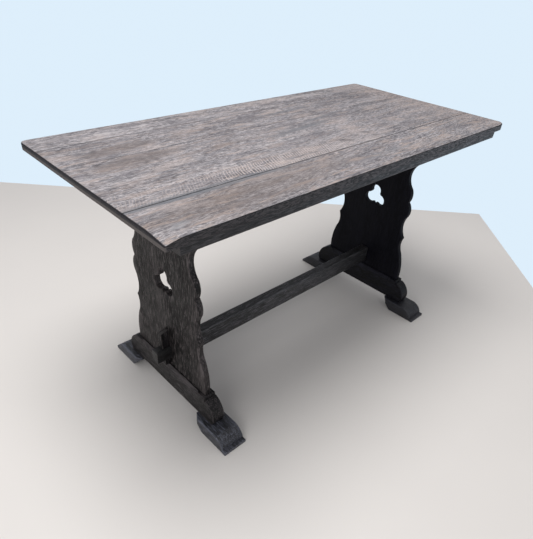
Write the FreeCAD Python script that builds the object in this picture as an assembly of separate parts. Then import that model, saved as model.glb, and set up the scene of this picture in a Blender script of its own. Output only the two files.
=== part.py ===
import FreeCAD, Part
import math
import os

V = FreeCAD.Vector

# An oak trestle table. Millimetres, +X along the top, +Y towards the back, +Z up.
# The origin is on the floor, under the middle of the top.

# ---- driving dimensions -------------------------------------------------------------
TOP_LENGTH = 1340.0
TOP_WIDTH = 644.0
TABLE_HEIGHT = 755.0
TOP_THICKNESS = 19.0
BOARD_WIDTHS = (("top_board_front", 144.0), ("top_board_middle", 268.0),
                ("top_board_back", 135.0), ("top_board_back_edge", 97.0))
# the top's corners, seen from above: (side in x, side in y, radius)
CORNERS = ((-1, -1, 4.0), (1, -1, 36.0), (-1, 1, 20.0), (1, 1, 20.0))
NOSE_TOP_RADIUS = 5.0        # the boards' ends, upper arris
NOSE_BOTTOM_RADIUS = 3.0     # the boards' ends, lower arris

STRIP_THICKNESS = 18.0
STRIP_WIDTH = 45.0
STRIP_START = -639.0         # the strips stop short of the top's ends
STRIP_END = 599.0
STRIP_END_SLANT = 3.0        # the strips' right ends lean out by this much

TRESTLE_X = 483.0            # middle of each slab, from the middle of the table
SLAB_THICKNESS = 20.0
SLAB_TOP = 700.0

RAIL_THICKNESS = 42.0
RAIL_BOTTOM = 43.0
RAIL_TOP = 128.0
RAIL_HALF_LENGTH = 226.0
RAIL_CHAMFER = 7.0
RAIL_CHAMFER_HALF_LENGTH = 150.0

FOOT_WIDTH = 80.0
FOOT_TOE = 305.0             # outermost point of a foot, from the table's long middle line
FOOT_TOE_HEIGHT = 9.0
FOOT_ROUND_START = 256.0
FOOT_ROUND_MIDDLE = (279.0, 32.0)
FOOT_ROUND_END = 292.0
FOOT_INNER_FLOOR = 192.0     # the inner end leans out over the floor
FOOT_INNER_TOP = 151.0
FOOT_INNER_CUT = (15.0, 21.0)    # cut off its two corners, seen from above, across and along

BEARER_WIDTH = 46.0
BEARER_HALF_LENGTH = 270.0
BEARER_SPLAY = 22.0          # how much of a bearer's end is cut away underneath

STRETCHER_THICKNESS = 34.0
STRETCHER_BOTTOM = 144.0
STRETCHER_TOP = 208.0
STRETCHER_CHAMFER = 3.0
TENON_THICKNESS = 28.0
TENON_BOTTOM = 160.0
TENON_TOP = 205.0
TENON_PROJECTION = 49.5      # beyond a slab's outer face

WEDGE_THICKNESS = 15.0
WEDGE_TOP = 267.0
WEDGE_BOTTOM = 134.0
WEDGE_TOP_WIDTH = 28.5
WEDGE_TAPER = 0.06           # width lost for each unit of depth
WEDGE_CHAMFER = 1.5
WEDGE_CLEARANCE = 0.3        # between a wedge and the walls round it
WEDGE_MORTISE_BACK = 2.0     # the mortise starts this far inside the slab's face

STUB_TENON_THICKNESS = 14.0
STUB_TENON_INNER = 55.0      # the slabs' stub tenons run from here
STUB_TENON_OUTER = 135.0     # to here, each side of the middle line
STUB_TENON_UPPER = 24.0      # length into the bearer
STUB_TENON_LOWER = 36.0      # length into the rail

DOWEL_DIAMETER = 8.0
DOWEL_LENGTH = 50.0
DOWEL_SPACING = 280.0
DOWEL_COUNT = 5
PEG_DIAMETER = 8.0

# ---- levels and planes that follow ----------------------------------------------------
TOP_UNDERSIDE = TABLE_HEIGHT - TOP_THICKNESS
SLAB_OUTER = TRESTLE_X + SLAB_THICKNESS / 2
SLAB_INNER = TRESTLE_X - SLAB_THICKNESS / 2
WEDGE_INNER_FACE = SLAB_OUTER + WEDGE_CLEARANCE

os.makedirs("parts", exist_ok=True)


def save(name, shape):
    shape.exportStep("parts/" + name + ".step")


def block(x0, x1, y0, y1, z0, z1):
    return Part.makeBox(x1 - x0, y1 - y0, z1 - z0, V(x0, y0, z0))


def mirror_x(shape):
    """The same piece for the right-hand trestle."""
    return shape.mirror(V(0, 0, 0), V(1, 0, 0))


def mirror_y(shape):
    """The same piece for the back."""
    return shape.mirror(V(0, 0, 0), V(0, 1, 0))


def line(a, b):
    return Part.LineSegment(a, b).toShape()


def arc(a, middle, b):
    return Part.Arc(a, middle, b).toShape()


def plate(edges, thickness_vector):
    """A closed outline, given some thickness."""
    wire = Part.Wire(Part.__sortEdges__(edges))
    return Part.Face(wire).extrude(thickness_vector)


def edges_where(shape, test):
    """The edges whose two ends both pass the test."""
    return [e for e in shape.Edges if all(test(v.Point) for v in e.Vertexes)]


# ---- screws -----------------------------------------------------------------------------
HEAD_DIAMETER = 9.0
HEAD_HEIGHT = 3.5
SHANK_DIAMETER = 4.5
POINT_LENGTH = 6.0
SLOT_WIDTH = 1.2
SLOT_DEPTH = 1.2
COUNTERBORE_DIAMETER = 12.0


def screw_body(length, x, y, z_head):
    """A countersunk wood screw that points up, with its head's flat side at z_head."""
    head, shank = HEAD_DIAMETER / 2, SHANK_DIAMETER / 2
    corners = [V(0, 0, 0), V(head, 0, 0), V(head, 0, 0.5), V(shank, 0, HEAD_HEIGHT),
               V(shank, 0, length - POINT_LENGTH), V(0, 0, length), V(0, 0, 0)]
    half_section = Part.Face(Part.makePolygon(corners))
    screw = half_section.revolve(V(0, 0, 0), V(0, 0, 1), 360)
    screw.translate(V(x, y, z_head))
    return screw


def slotted(screw, x, y, z_head):
    slot = block(x - HEAD_DIAMETER, x + HEAD_DIAMETER, y - SLOT_WIDTH / 2, y + SLOT_WIDTH / 2,
                 z_head - 1.0, z_head + SLOT_DEPTH)
    return screw.cut(slot)


def screw_set(places, length, z_head):
    """The screws as they are, and the same ones unslotted, for cutting their holes."""
    bodies = [screw_body(length, x, y, z_head) for x, y in places]
    screws = [slotted(b, x, y, z_head) for b, (x, y) in zip(bodies, places)]
    return screws, bodies


def counterbores(places, z0, z1):
    return [Part.makeCylinder(COUNTERBORE_DIAMETER / 2, z1 - z0, V(x, y, z0))
            for x, y in places]


# ---- where the fasteners go ---------------------------------------------------------------
STRIP_SCREW_LENGTH = 29.0
STRIP_SCREW_XS = (-580.0, -300.0, -20.0, 260.0, 540.0)
STRIP_MIDDLE = TOP_WIDTH / 2 - STRIP_WIDTH / 2
strip_places = [(x, side * STRIP_MIDDLE) for side in (-1, 1) for x in STRIP_SCREW_XS]
strip_screws, strip_holes = screw_set(strip_places, STRIP_SCREW_LENGTH,
                                      TOP_UNDERSIDE - STRIP_THICKNESS)

BEARER_SCREW_LENGTH = 35.0
BEARER_COUNTERBORE = 14.0
BEARER_SCREW_YS = (-205.0, -30.0, 30.0, 205.0)
bearer_places = [(side * (TRESTLE_X - BEARER_WIDTH / 2 + 9.0 + row * 28.0), y)
                 for side in (-1, 1) for row, y in zip((0, 1, 0, 1), BEARER_SCREW_YS)]
BEARER_HEAD_Z = SLAB_TOP + BEARER_COUNTERBORE
bearer_screws, bearer_holes = screw_set(bearer_places, BEARER_SCREW_LENGTH, BEARER_HEAD_Z)

RAIL_SCREW_LENGTH = 62.0
RAIL_COUNTERBORE = 14.0
rail_places = [(side * TRESTLE_X, y) for side in (-1, 1) for y in (-95.0, 95.0)]
rail_screws, rail_holes = screw_set(rail_places, RAIL_SCREW_LENGTH,
                                    RAIL_BOTTOM + RAIL_COUNTERBORE)

FOOT_SCREW_LENGTH = 72.0
FOOT_COUNTERBORE = 12.0
FOOT_SCREW_YS = (200.0, 212.0)
foot_places = [(side_x * (TRESTLE_X + offset), side_y * y)
               for side_x in (-1, 1) for side_y in (-1, 1)
               for offset, y in zip((-10.0, 10.0), FOOT_SCREW_YS)]
foot_screws, foot_holes = screw_set(foot_places, FOOT_SCREW_LENGTH, FOOT_COUNTERBORE)


# ---- the top ------------------------------------------------------------------------------
half_length = TOP_LENGTH / 2
half_width = TOP_WIDTH / 2

dowel_xs = [(i - (DOWEL_COUNT - 1) / 2) * DOWEL_SPACING for i in range(DOWEL_COUNT)]
joint_ys = []
y = -half_width
for _, width in BOARD_WIDTHS[:-1]:
    y += width
    joint_ys.append(y)
dowels = [Part.makeCylinder(DOWEL_DIAMETER / 2, DOWEL_LENGTH,
                            V(x, joint - DOWEL_LENGTH / 2, TABLE_HEIGHT - TOP_THICKNESS / 2),
                            V(0, 1, 0))
          for joint in joint_ys for x in dowel_xs]

whole_top = block(-half_length, half_length, -half_width, half_width, TOP_UNDERSIDE, TABLE_HEIGHT)
for side_x, side_y, radius in CORNERS:
    corner = edges_where(whole_top, lambda p: abs(p.x - side_x * half_length) < 0.01
                         and abs(p.y - side_y * half_width) < 0.01)
    whole_top = whole_top.makeFillet(radius, corner)


def end_edges(shape, level):
    """The straight edges of the top's two ends at one level."""
    return edges_where(shape, lambda p: abs(abs(p.x) - half_length) < 0.01
                       and abs(p.z - level) < 0.01)


nose_cutters = []
for side in (-1, 1):
    for level, radius, up in ((TABLE_HEIGHT, NOSE_TOP_RADIUS, -1),
                              (TOP_UNDERSIDE, NOSE_BOTTOM_RADIUS, 1)):
        x_face = side * half_length
        corner = V(x_face, -half_width, level)
        along = V(x_face - side * radius, -half_width, level)
        upright = V(x_face, -half_width, level + up * radius)
        reach = radius * (1 - math.sqrt(0.5))
        middle = V(x_face - side * reach, -half_width, level + up * reach)
        nose_cutters.append(plate([line(corner, along), arc(along, middle, upright),
                                   line(upright, corner)], V(0, TOP_WIDTH, 0)))
for cutter in nose_cutters:
    whole_top = whole_top.cut(cutter)
for hole in dowels + strip_holes + bearer_holes:
    whole_top = whole_top.cut(hole)

y = -half_width
for name, width in BOARD_WIDTHS:
    save(name, whole_top.common(block(-half_length - 1, half_length + 1, y, y + width,
                                      TOP_UNDERSIDE - 1, TABLE_HEIGHT + 1)))
    y += width
save("board_dowels", Part.makeCompound(dowels))

# ---- the strips under its long edges ---------------------------------------------------------
strip_bottom = TOP_UNDERSIDE - STRIP_THICKNESS
for name, side in (("edge_strip_front", -1), ("edge_strip_back", 1)):
    outer = side * half_width
    outline = [V(STRIP_START, outer, strip_bottom),
               V(STRIP_END - STRIP_END_SLANT, outer, strip_bottom),
               V(STRIP_END, outer, TOP_UNDERSIDE), V(STRIP_START, outer, TOP_UNDERSIDE),
               V(STRIP_START, outer, strip_bottom)]
    strip = Part.Face(Part.makePolygon(outline)).extrude(V(0, -side * STRIP_WIDTH, 0))
    for hole in strip_holes:
        strip = strip.cut(hole)
    save(name, strip)
save("strip_screws", Part.makeCompound(strip_screws))


# ---- the slabs -----------------------------------------------------------------------------
# Half of the outline as (distance from the middle line, height), from the rail to the bearer.
# Each run is an arc through three points, and the runs meet at the points, notches and tips.
SLAB_RUNS = (
    ((176.5, RAIL_TOP), (176.5, 175.0), (161.0, 240.0)),     # swell above the rail
    ((161.0, 240.0), (150.5, 273.0), (157.0, 307.0)),        # hollow, up to a small tip
    ((157.0, 307.0), (141.5, 349.0), (148.5, 388.0)),        # long hollow
    ((148.5, 388.0), (157.5, 420.0), (144.0, 451.0)),        # lobe, back to a notch
    ((144.0, 451.0), (150.5, 474.0), (144.0, 502.0)),        # lobe above the notch
    ((144.0, 502.0), (125.5, 553.0), (151.0, 598.0)),        # waist
    ((151.0, 598.0), (165.0, 609.0), (182.0, 616.0)),        # flare, out to a tip
    ((182.0, 616.0), (202.0, 648.0), (208.0, SLAB_TOP)),     # shoulder under the bearer
)
TREFOIL_LOBES = ((0.0, 453.0, 21.5), (-23.5, 419.0, 20.5), (23.5, 419.0, 20.5))
TREFOIL_CORE = (0.0, 429.0, 26.5)
TREFOIL_STEM = ((-6.0, 410.0), (6.0, 410.0), (0.0, 395.0))


def slab_blank(x_face):
    edges = []
    for run in SLAB_RUNS:
        for side in (-1, 1):
            points = [V(x_face, side * y, z) for y, z in run]
            edges.append(arc(*points))
    for half, level in ((SLAB_RUNS[0][0][0], RAIL_TOP), (SLAB_RUNS[-1][2][0], SLAB_TOP)):
        edges.append(line(V(x_face, -half, level), V(x_face, half, level)))
    return plate(edges, V(SLAB_THICKNESS, 0, 0))


def trefoil(x_face):
    hole = None
    for y, z, radius in TREFOIL_LOBES + (TREFOIL_CORE,):
        disc = Part.makeCylinder(radius, SLAB_THICKNESS + 2, V(x_face - 1, y, z), V(1, 0, 0))
        hole = disc if hole is None else hole.fuse(disc)
    stem_corners = [V(x_face - 1, y, z) for y, z in TREFOIL_STEM + TREFOIL_STEM[:1]]
    stem = Part.Face(Part.makePolygon(stem_corners)).extrude(V(SLAB_THICKNESS + 2, 0, 0))
    return hole.fuse(stem)


def stub_tenons(z0, z1):
    """Two stub tenons on a slab's top or bottom edge, for the left-hand slab."""
    x0 = -TRESTLE_X - STUB_TENON_THICKNESS / 2
    x1 = -TRESTLE_X + STUB_TENON_THICKNESS / 2
    return [block(x0, x1, -STUB_TENON_OUTER, -STUB_TENON_INNER, z0, z1),
            block(x0, x1, STUB_TENON_INNER, STUB_TENON_OUTER, z0, z1)]


upper_tenons = stub_tenons(SLAB_TOP, SLAB_TOP + STUB_TENON_UPPER)
lower_tenons = stub_tenons(RAIL_TOP - STUB_TENON_LOWER, RAIL_TOP)
peg_z = SLAB_TOP + STUB_TENON_UPPER / 2
peg_y = (STUB_TENON_INNER + STUB_TENON_OUTER) / 2
left_pegs = [Part.makeCylinder(PEG_DIAMETER / 2, BEARER_WIDTH,
                               V(-TRESTLE_X - BEARER_WIDTH / 2, side * peg_y, peg_z), V(1, 0, 0))
             for side in (-1, 1)]
tenon_hole = block(-SLAB_OUTER - 1, -SLAB_INNER + 1, -TENON_THICKNESS / 2, TENON_THICKNESS / 2,
                   TENON_BOTTOM, TENON_TOP)

slab = slab_blank(-SLAB_OUTER)
for piece in upper_tenons + lower_tenons:
    slab = slab.fuse(piece)
slab = slab.removeSplitter()
for piece in [trefoil(-SLAB_OUTER), tenon_hole] + left_pegs + rail_holes:
    slab = slab.cut(piece)
save("slab_left", slab)
slab.translate(V(2 * TRESTLE_X, 0, 0))     # both slabs are the same, front to back
save("slab_right", slab)

# ---- the bearers under the top -----------------------------------------------------------
x0 = -TRESTLE_X - BEARER_WIDTH / 2
bearer_outline = [V(x0, -BEARER_HALF_LENGTH + BEARER_SPLAY, SLAB_TOP),
                  V(x0, BEARER_HALF_LENGTH - BEARER_SPLAY, SLAB_TOP),
                  V(x0, BEARER_HALF_LENGTH, SLAB_TOP + BEARER_SPLAY),
                  V(x0, BEARER_HALF_LENGTH, TOP_UNDERSIDE),
                  V(x0, -BEARER_HALF_LENGTH, TOP_UNDERSIDE),
                  V(x0, -BEARER_HALF_LENGTH, SLAB_TOP + BEARER_SPLAY)]
bearer = Part.Face(Part.makePolygon(bearer_outline + bearer_outline[:1]))
bearer = bearer.extrude(V(BEARER_WIDTH, 0, 0))
bearer_bores = counterbores(bearer_places, SLAB_TOP, BEARER_HEAD_Z)
for piece in upper_tenons + left_pegs + bearer_holes + bearer_bores:
    bearer = bearer.cut(piece)
save("bearer_left", bearer)
save("bearer_right", mirror_x(bearer))
save("bearer_screws", Part.makeCompound(bearer_screws))
save("bearer_pegs", Part.makeCompound(left_pegs + [mirror_x(peg) for peg in left_pegs]))

# ---- the rails -----------------------------------------------------------------------------
# Half of a rail's outline, from the middle of its top out to its end.
QUIRK_START = 184.0
QUIRK_BOTTOM = 111.0
SCROLL_START = 189.0
SCROLL_TOP = 121.0
SCROLL_MIDDLE = (214.0, 103.0)
SCROLL_FOOT = 58.0
RAIL_TOE = 219.0             # under the scroll, the rail's end falls back to here
x0 = -TRESTLE_X - RAIL_THICKNESS / 2
rail_edges = []
for side in (-1, 1):
    quirk_top = V(x0, side * QUIRK_START, RAIL_TOP)
    quirk_foot = V(x0, side * (QUIRK_START + 2), QUIRK_BOTTOM)
    scroll_top = V(x0, side * SCROLL_START, SCROLL_TOP)
    scroll_middle = V(x0, side * SCROLL_MIDDLE[0], SCROLL_MIDDLE[1])
    scroll_foot = V(x0, side * RAIL_HALF_LENGTH, SCROLL_FOOT)
    rail_edges += [line(quirk_top, quirk_foot), line(quirk_foot, scroll_top),
                   arc(scroll_top, scroll_middle, scroll_foot),
                   line(scroll_foot, V(x0, side * RAIL_TOE, RAIL_BOTTOM))]
rail_edges.append(line(V(x0, -QUIRK_START, RAIL_TOP), V(x0, QUIRK_START, RAIL_TOP)))
rail_edges.append(line(V(x0, -RAIL_TOE, RAIL_BOTTOM), V(x0, RAIL_TOE, RAIL_BOTTOM)))
rail = plate(rail_edges, V(RAIL_THICKNESS, 0, 0))

# a stopped chamfer along both upper arrises
for x_face, inward in ((x0, 1), (x0 + RAIL_THICKNESS, -1)):
    section = [V(x_face, -RAIL_CHAMFER_HALF_LENGTH, RAIL_TOP),
               V(x_face + inward * RAIL_CHAMFER, -RAIL_CHAMFER_HALF_LENGTH, RAIL_TOP),
               V(x_face, -RAIL_CHAMFER_HALF_LENGTH, RAIL_TOP - 2 * RAIL_CHAMFER)]
    chamfer = Part.Face(Part.makePolygon(section + section[:1]))
    rail = rail.cut(chamfer.extrude(V(0, 2 * RAIL_CHAMFER_HALF_LENGTH, 0)))

rail_bores = counterbores(rail_places, RAIL_BOTTOM, RAIL_BOTTOM + RAIL_COUNTERBORE)
for piece in lower_tenons + rail_holes + rail_bores + foot_holes:
    rail = rail.cut(piece)
save("rail_left", rail)
save("rail_right", mirror_x(rail))
save("rail_screws", Part.makeCompound(rail_screws))

# ---- the feet ---------------------------------------------------------------------------------
x0 = -TRESTLE_X - FOOT_WIDTH / 2
x1 = x0 + FOOT_WIDTH
toe_floor = V(x0, -FOOT_TOE, 0)
toe_top = V(x0, -FOOT_TOE, FOOT_TOE_HEIGHT)
round_foot = V(x0, -FOOT_ROUND_END, FOOT_TOE_HEIGHT)
round_top = V(x0, -FOOT_ROUND_START, RAIL_BOTTOM)
round_middle = V(x0, -FOOT_ROUND_MIDDLE[0], FOOT_ROUND_MIDDLE[1])
inner_top = V(x0, -FOOT_INNER_TOP, RAIL_BOTTOM)
inner_floor = V(x0, -FOOT_INNER_FLOOR, 0)
foot = plate([line(inner_floor, toe_floor), line(toe_floor, toe_top), line(toe_top, round_foot),
              arc(round_foot, round_middle, round_top), line(round_top, inner_top),
              line(inner_top, inner_floor)], V(FOOT_WIDTH, 0, 0))
cut_x, cut_y = FOOT_INNER_CUT
corner_cuts = []
for x_face, inward in ((x0, 1), (x1, -1)):
    corner_plan = [V(x_face, -FOOT_INNER_TOP, 0), V(x_face + inward * cut_x, -FOOT_INNER_TOP, 0),
                   V(x_face, -FOOT_INNER_TOP - cut_y, 0), V(x_face, -FOOT_INNER_TOP, 0)]
    corner_cuts.append(Part.Face(Part.makePolygon(corner_plan)).extrude(V(0, 0, RAIL_BOTTOM)))
foot_bores = counterbores(foot_places, 0, FOOT_COUNTERBORE)
for piece in corner_cuts + foot_holes + foot_bores:
    foot = foot.cut(piece)
save("foot_left_front", foot)
save("foot_left_back", mirror_y(foot))
save("foot_right_front", mirror_x(foot))
save("foot_right_back", mirror_y(mirror_x(foot)))
save("foot_screws", Part.makeCompound(foot_screws))

# ---- the stretcher -------------------------------------------------------------------------------
half_y = STRETCHER_THICKNESS / 2
stretcher = block(-SLAB_INNER, SLAB_INNER, -half_y, half_y, STRETCHER_BOTTOM, STRETCHER_TOP)
long_edges = [e for e in stretcher.Edges if e.Length > SLAB_INNER]
stretcher = stretcher.makeChamfer(STRETCHER_CHAMFER, long_edges)
tenon_end = SLAB_OUTER + TENON_PROJECTION
tenon = block(-tenon_end, tenon_end, -TENON_THICKNESS / 2, TENON_THICKNESS / 2,
              TENON_BOTTOM, TENON_TOP)
end_arrises = edges_where(tenon, lambda p: abs(abs(p.x) - tenon_end) < 0.01)
tenon = tenon.makeChamfer(STRETCHER_CHAMFER, end_arrises)
stretcher = stretcher.fuse(tenon).removeSplitter()


def wedge_outer(z):
    """How far out the wedge's sloping face lies at a height."""
    return WEDGE_INNER_FACE + WEDGE_TOP_WIDTH - (WEDGE_TOP - z) * WEDGE_TAPER


def wedge_shape(inner_x, slack, z0, z1):
    """A tapered bar for the left-hand tenon, its sloping face moved out by the slack."""
    half = WEDGE_THICKNESS / 2 + slack
    outline = [V(-inner_x, -half, z0), V(-inner_x, -half, z1),
               V(-wedge_outer(z1) - slack, -half, z1), V(-wedge_outer(z0) - slack, -half, z0)]
    face = Part.Face(Part.makePolygon(outline + outline[:1]))
    return face.extrude(V(0, 2 * half, 0))


mortise = wedge_shape(SLAB_OUTER - WEDGE_MORTISE_BACK, WEDGE_CLEARANCE,
                      TENON_BOTTOM - 1, TENON_TOP + 1)
stretcher = stretcher.cut(mortise).cut(mirror_x(mortise))
save("stretcher", stretcher)

# ---- the wedges -----------------------------------------------------------------------------------
wedge = wedge_shape(WEDGE_INNER_FACE, 0, WEDGE_BOTTOM, WEDGE_TOP)
upper_edges = edges_where(wedge, lambda p: abs(p.z - WEDGE_TOP) < 0.01)
lower_edges = edges_where(wedge, lambda p: abs(p.z - WEDGE_BOTTOM) < 0.01)
wedge = wedge.makeChamfer(WEDGE_CHAMFER, upper_edges + lower_edges)
save("wedge_left", wedge)
save("wedge_right", mirror_x(wedge))
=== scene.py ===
import math

import bmesh
import bpy
import numpy as np
from mathutils import Matrix, Vector


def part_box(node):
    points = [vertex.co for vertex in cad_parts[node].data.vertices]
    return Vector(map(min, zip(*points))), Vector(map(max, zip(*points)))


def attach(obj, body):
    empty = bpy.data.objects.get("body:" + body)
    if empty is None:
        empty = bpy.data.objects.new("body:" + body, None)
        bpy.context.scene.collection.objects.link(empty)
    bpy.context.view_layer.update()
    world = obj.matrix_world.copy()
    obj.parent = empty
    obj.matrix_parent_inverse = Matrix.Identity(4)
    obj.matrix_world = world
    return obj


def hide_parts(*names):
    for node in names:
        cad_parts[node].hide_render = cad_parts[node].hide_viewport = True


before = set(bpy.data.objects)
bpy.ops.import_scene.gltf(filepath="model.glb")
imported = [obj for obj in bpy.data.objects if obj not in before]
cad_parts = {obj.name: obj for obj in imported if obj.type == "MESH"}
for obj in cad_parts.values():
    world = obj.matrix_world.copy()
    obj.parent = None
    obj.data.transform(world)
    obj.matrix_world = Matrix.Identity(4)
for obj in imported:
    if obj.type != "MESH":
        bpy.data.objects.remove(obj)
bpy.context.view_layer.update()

# ---- Feet ---------------------------------------------------------------------------------
# Four blocks of fumed oak under the ends of the two rails, each screwed up into its rail.
# Sawn with a rounded shoulder and a thin toe, then eased over along every arris by hand.
ARRIS_STEPS = 3


def grid_quads(rows, columns, ring=False):
    """Quads between neighbouring rows of a grid of points counted row by row.

    ring joins the end of every row to its start."""
    i, j = np.meshgrid(np.arange(rows - 1), np.arange(columns if ring else columns - 1),
                       indexing="ij")
    k = (j + 1) % columns
    quads = [i * columns + j, i * columns + k, (i + 1) * columns + k, (i + 1) * columns + j]
    return np.stack(quads, axis=-1).reshape(-1, 4)


def map_quads(index):
    """Quads of a rectangular array of point numbers."""
    quads = [index[:-1, :-1], index[:-1, 1:], index[1:, 1:], index[1:, :-1]]
    return np.stack(quads, axis=-1).reshape(-1, 4)


def line_of(x, y, z):
    """Points along a line; each of x, y and z is one number or one for every point."""
    return np.stack(np.broadcast_arrays(x, y, z), axis=1)


def crowded_ends(count):
    """Fractions from 0 to 1 that lie closer together towards both ends: (1 - cos) / 2."""
    return (1 - np.cos(np.linspace(0, np.pi, count + 1))) / 2


def eased_run(start, end, ease, count):
    """Places from start to end, and how far the outline is drawn in at each.

    The draw-in falls from ease to nothing over a quarter circle at each end."""
    turn = np.linspace(0, np.pi / 2, ARRIS_STEPS + 1)
    reach = ease * (1 - np.cos(turn))
    places = np.concatenate([start + reach, np.linspace(start + ease, end - ease, count + 1)[1:-1],
                             end - reach[::-1]])
    drawn = ease * (1 - np.sin(turn))
    drawn = np.concatenate([drawn, np.zeros(count - 1), drawn[::-1]])
    return places, drawn


def arc_through(start, middle, end, count):
    """Points on the circle through three points, at even angles from start to end."""
    a, b, c = (complex(*p) for p in (start, middle, end))
    w = (c - a) / (b - a)
    centre = a + (b - a) * (w - abs(w) ** 2) / (2j * w.imag)
    first = np.angle(a - centre)
    to_middle = np.angle((b - centre) / (a - centre))
    sweep = np.angle((c - centre) / (a - centre))
    if sweep * to_middle < 0 or abs(sweep) < abs(to_middle):
        sweep -= np.sign(sweep) * 2 * np.pi
    circle = centre + abs(a - centre) * np.exp(1j * (first + np.linspace(0, sweep, count)))
    return np.stack([circle.real, circle.imag], axis=1)


def bar_surface(lower, upper, across, near, far, lower_cut, upper_cut, flats=8, sides=3,
                flatness=0.0, drawn=0.0):
    """A bar as a closed skin of rings: points (metres), quads and how worn each point is.

    Ring i is a rectangle from lower[i] to upper[i] in height and from near[i] to far[i] along
    across. Each corner is cut by a quarter ellipse of the given (width, height), which flatness
    turns into a straight chamfer. The first and last ring are closed by a grid over the ring.
    Wear is 1 on the corners and where a ring is drawn in, and 0 on the flats."""
    count = len(lower)
    across = np.asarray(across, float)
    near, far, flatness, drawn = (np.broadcast_to(a, (count,))[:, None]
                                  for a in (near, far, flatness, drawn))
    lower_cut, upper_cut = (np.broadcast_to(c, (count, 2)) for c in (lower_cut, upper_cut))
    upright = upper - lower
    height = np.linalg.norm(upright, axis=1)[:, None]
    upright = upright / height
    turn = np.linspace(0, np.pi / 2, ARRIS_STEPS + 1)
    along_flat = crowded_ends(flats)[1:-1]

    def chain(cut):
        """One corner, a flat and the other corner: places across, and depths into the bar."""
        wide, deep = cut[:, :1], cut[:, 1:]
        straight = turn / turn[-1]
        corner_in = (1 - flatness) * (1 - np.cos(turn)) + flatness * straight
        corner_off = (1 - flatness) * (1 - np.sin(turn)) + flatness * (1 - straight)
        left = near + wide * corner_in
        right = far - wide * corner_in[:, ::-1]
        flat = left[:, -1:] + (right[:, :1] - left[:, -1:]) * along_flat
        place = np.concatenate([left, flat, right], axis=1)
        depth = np.concatenate([deep * corner_off, flat * 0, deep * corner_off[:, ::-1]], axis=1)
        return place, depth

    low_place, low_depth = chain(lower_cut)
    high_place, high_depth = chain(upper_cut)
    rise = crowded_ends(sides)[None, :, None]
    place = low_place[:, None] + (high_place - low_place)[:, None] * rise
    tall = low_depth[:, None] + (height - high_depth - low_depth)[:, None] * rise
    points = (lower[:, None, None] + upright[:, None, None] * tall[..., None]
              + across * place[..., None])

    rows, columns = sides + 1, low_place.shape[1]
    corner_wear = 0.6 + 0.4 * np.sin(2 * turn)
    wear = np.zeros((rows, columns))
    for row in (0, -1):
        wear[row, :ARRIS_STEPS + 1] = corner_wear
        wear[row, -ARRIS_STEPS - 1:] = corner_wear
    wear = np.maximum(wear[None], (drawn > 0)[..., None])

    cell = np.arange(rows * columns).reshape(rows, columns)
    ring = np.concatenate([cell[0, :-1], cell[:-1, -1], cell[-1, :0:-1], cell[:0:-1, 0]])
    inner = cell[1:-1, 1:-1].ravel()
    quads = [grid_quads(count, len(ring), ring=True)]
    skin = [points.reshape(count, -1, 3)[:, ring].reshape(-1, 3)]
    skin_wear = [wear.reshape(count, -1)[:, ring].ravel()]
    for end in (0, count - 1):
        number = np.empty(rows * columns, int)
        number[ring] = end * len(ring) + np.arange(len(ring))
        number[inner] = sum(len(s) for s in skin) + np.arange(len(inner))
        quads.append(map_quads(number.reshape(rows, columns)))
        skin.append(points.reshape(count, -1, 3)[end, inner])
        skin_wear.append(wear.reshape(count, -1)[end, inner])
    return np.concatenate(skin), np.concatenate(quads), np.concatenate(skin_wear)


def hand_worked(points):
    """The same points moved by up to 0.2 mm: a sum of slow sine waves along three directions."""
    rng = np.random.default_rng(7)
    moved = points.copy()
    for wave_length in (0.31, 0.17, 0.09):
        direction = rng.normal(size=(3, 3))
        direction /= np.linalg.norm(direction, axis=1)[:, None]
        phase = points @ direction.T * (2 * np.pi / wave_length) + rng.uniform(0, 6.28, 3)
        moved += 0.0001 * np.sin(phase) * (wave_length / 0.31) ** 0.5
    return moved


def wooden_piece(skins, finish, slot_name, body, *nodes):
    """Joins skins of points, quads and wear into one piece that stands for its CAD nodes."""
    name = "worn_" + nodes[0]
    starts = np.cumsum([0] + [len(s[0]) for s in skins[:-1]])
    points = hand_worked(np.concatenate([s[0] for s in skins]))
    quads = np.concatenate([s[1] + start for s, start in zip(skins, starts)])
    mesh = bpy.data.meshes.new(name)
    mesh.from_pydata(points.tolist(), [], quads.tolist())
    wear = mesh.attributes.new("wear", "FLOAT", "POINT")
    wear.data.foreach_set("value", np.concatenate([s[2] for s in skins]).astype(np.float32))
    skin = bmesh.new()
    skin.from_mesh(mesh)
    bmesh.ops.recalc_face_normals(skin, faces=skin.faces)
    skin.to_mesh(mesh)
    skin.free()
    mesh.polygons.foreach_set("use_smooth", np.ones(len(mesh.polygons), bool))
    mesh.set_sharp_from_angle(angle=math.radians(38))
    mesh.materials.append(finish)
    piece = bpy.data.objects.new(name, mesh)
    bpy.context.scene.collection.objects.link(piece)
    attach(piece, body)
    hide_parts(*nodes)


def add(tree, kind, inputs=None, **settings):
    """A shader node with its settings; each input is a value or another node's output."""
    node = tree.nodes.new("ShaderNode" + kind)
    for key, value in settings.items():
        setattr(node, key, value)
    for key, value in (inputs or {}).items():
        if isinstance(value, bpy.types.NodeSocket):
            tree.links.new(value, node.inputs[key])
        else:
            node.inputs[key].default_value = value
    return node


def blend(tree, share, first, second):
    """first turning into second by share; colours are (r, g, b, 1) or a node's output."""
    return add(tree, "Mix", {0: share, 6: first, 7: second}, data_type="RGBA").outputs[2]


def between(tree, value, low, high, out_low=0.0, out_high=1.0):
    """value eased from out_low to out_high while it goes from low to high."""
    node = add(tree, "MapRange", {0: value, 1: low, 2: high, 3: out_low, 4: out_high},
               interpolation_type="SMOOTHSTEP")
    return node.outputs[0]


def sums(tree, way, first, second=0.0, clamp=False):
    """One arithmetic step."""
    return add(tree, "Math", {0: first, 1: second}, operation=way, use_clamp=clamp).outputs[0]


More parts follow.
